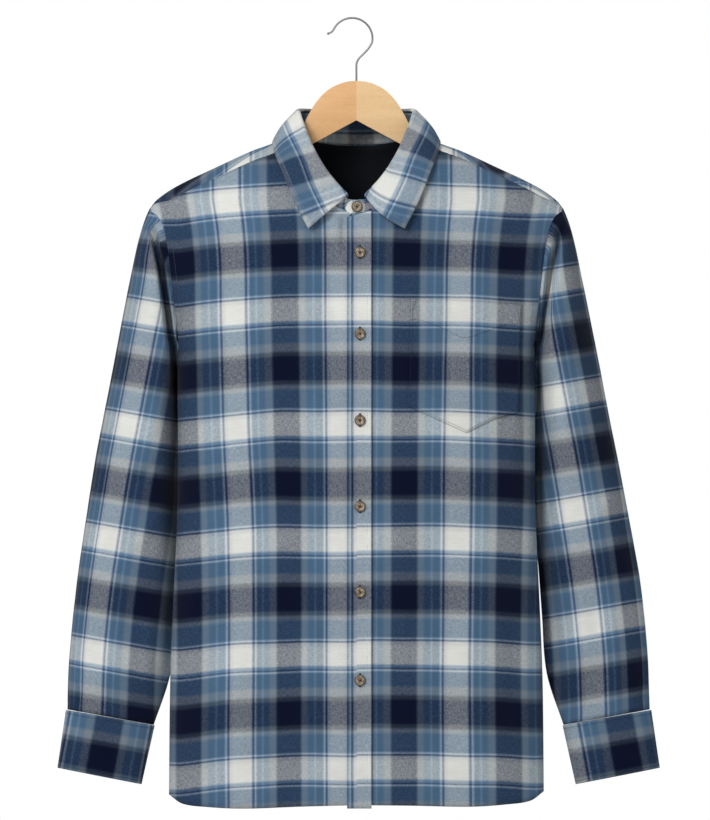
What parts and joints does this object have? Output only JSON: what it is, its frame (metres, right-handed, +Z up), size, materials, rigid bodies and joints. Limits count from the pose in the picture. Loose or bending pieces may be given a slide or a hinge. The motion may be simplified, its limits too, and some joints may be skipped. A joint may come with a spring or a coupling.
{
  "type": "flannel shirt on a wooden hanger",
  "caption": "Long-sleeved plaid flannel shirt, buttoned and hanging open-bodied on a two-piece wooden hanger with a bent wire hook.",
  "frame": {"origin": "inner top of the hook's bend, where a rail carries the hanger", "axes": "+Z up, the front faces -Y, the wearer's left is at +X"},
  "size_m": [0.6804, 0.1621, 0.8962],
  "materials": {
    "plaid": "brushed cotton twill",
    "lining": "plain weave",
    "buttons": "polished horn look",
    "wood": "clear lacquered beech",
    "hook": "plated wire"
  },
  "bodies": {
    "root": {"front_right": "plaid", "front_left": "plaid", "placket": "plaid", "back": "plaid", "yoke": "plaid", "yoke_lining": "lining", "collar_stand": "plaid", "collar_leaf": "plaid", "pocket": "plaid", "sleeve_right": "plaid", "sleeve_left": "plaid", "cuff_right": "plaid", "cuff_left": "plaid", "button_collar": "buttons", "button_1": "buttons", "button_2": "buttons", "button_3": "buttons", "button_4": "buttons", "button_5": "buttons", "button_6": "buttons", "button_cuff_right": "buttons", "button_cuff_left": "buttons", "hanger_right": "wood", "hanger_left": "wood", "hanger_hook": "hook"}
  },
  "joints": []
}
